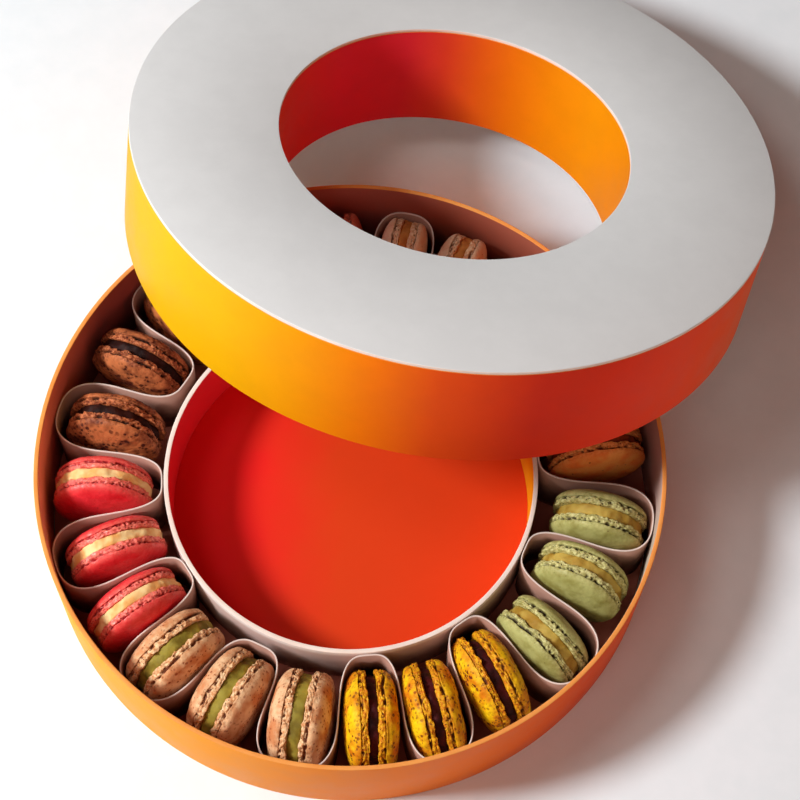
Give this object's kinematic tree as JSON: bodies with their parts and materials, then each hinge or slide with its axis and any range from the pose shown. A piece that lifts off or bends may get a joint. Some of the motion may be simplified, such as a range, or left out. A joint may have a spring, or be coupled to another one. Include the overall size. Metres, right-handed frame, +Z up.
{
  "type": "ring-shaped macaron gift box",
  "caption": "Ring-shaped paper board gift box full of macarons, which stand on edge in a winding card strip round an open well. Its ring lid leans on the tray.",
  "frame": {"origin": "centre of the tray's underside, on the tray's axis, in the plane that the tray stands on", "axes": "+Z up along the tray's axis; -Y points to the side that the picture shows in front; the lid leans at the back, towards +Y and a little towards +X"},
  "size_m": [0.3132, 0.4025, 0.1456],
  "materials": {
    "orange_board": "printed paper board, yellow fading into orange and brick red, silk sheen",
    "grey_card": "smooth matt paper board, pale grey",
    "white_card": "uncoated white card",
    "red_card": "matt red-orange paper",
    "cocoa_macaron": "baked shell with dark specks, dry and matt",
    "rose_macaron": "baked shell, dry and matt",
    "praline_macaron": "baked shell with fine specks, dry and matt",
    "saffron_macaron": "baked shell with brown specks, dry and matt",
    "pistachio_macaron": "smooth baked shell, dry and matt",
    "apricot_macaron": "baked shell, dry and matt",
    "almond_macaron": "smooth baked shell, dry and matt",
    "berry_macaron": "smooth baked shell, dry and matt"
  },
  "bodies": {
    "root": {"tray_bottom": "white_card", "tray_wall": "orange_board", "hub_tube": "white_card", "well_card": "red_card", "card_strip": "white_card", "macaron_01_cocoa": "cocoa_macaron", "macaron_02_cocoa": "cocoa_macaron", "macaron_03_cocoa": "cocoa_macaron", "macaron_04_rose": "rose_macaron", "macaron_05_rose": "rose_macaron", "macaron_06_rose": "rose_macaron", "macaron_07_praline": "praline_macaron", "macaron_08_praline": "praline_macaron", "macaron_09_praline": "praline_macaron", "macaron_10_saffron": "saffron_macaron", "macaron_11_saffron": "saffron_macaron", "macaron_12_saffron": "saffron_macaron", "macaron_13_pistachio": "pistachio_macaron", "macaron_14_pistachio": "pistachio_macaron", "macaron_15_pistachio": "pistachio_macaron", "macaron_16_apricot": "apricot_macaron", "macaron_17_apricot": "apricot_macaron", "macaron_18_apricot": "apricot_macaron", "macaron_19_almond": "almond_macaron", "macaron_20_almond": "almond_macaron", "macaron_21_almond": "almond_macaron", "macaron_22_berry": "berry_macaron", "macaron_23_berry": "berry_macaron", "macaron_24_berry": "berry_macaron", "lid_top": "grey_card", "lid_wall": "orange_board", "lid_tube": "orange_board"}
  },
  "joints": []
}
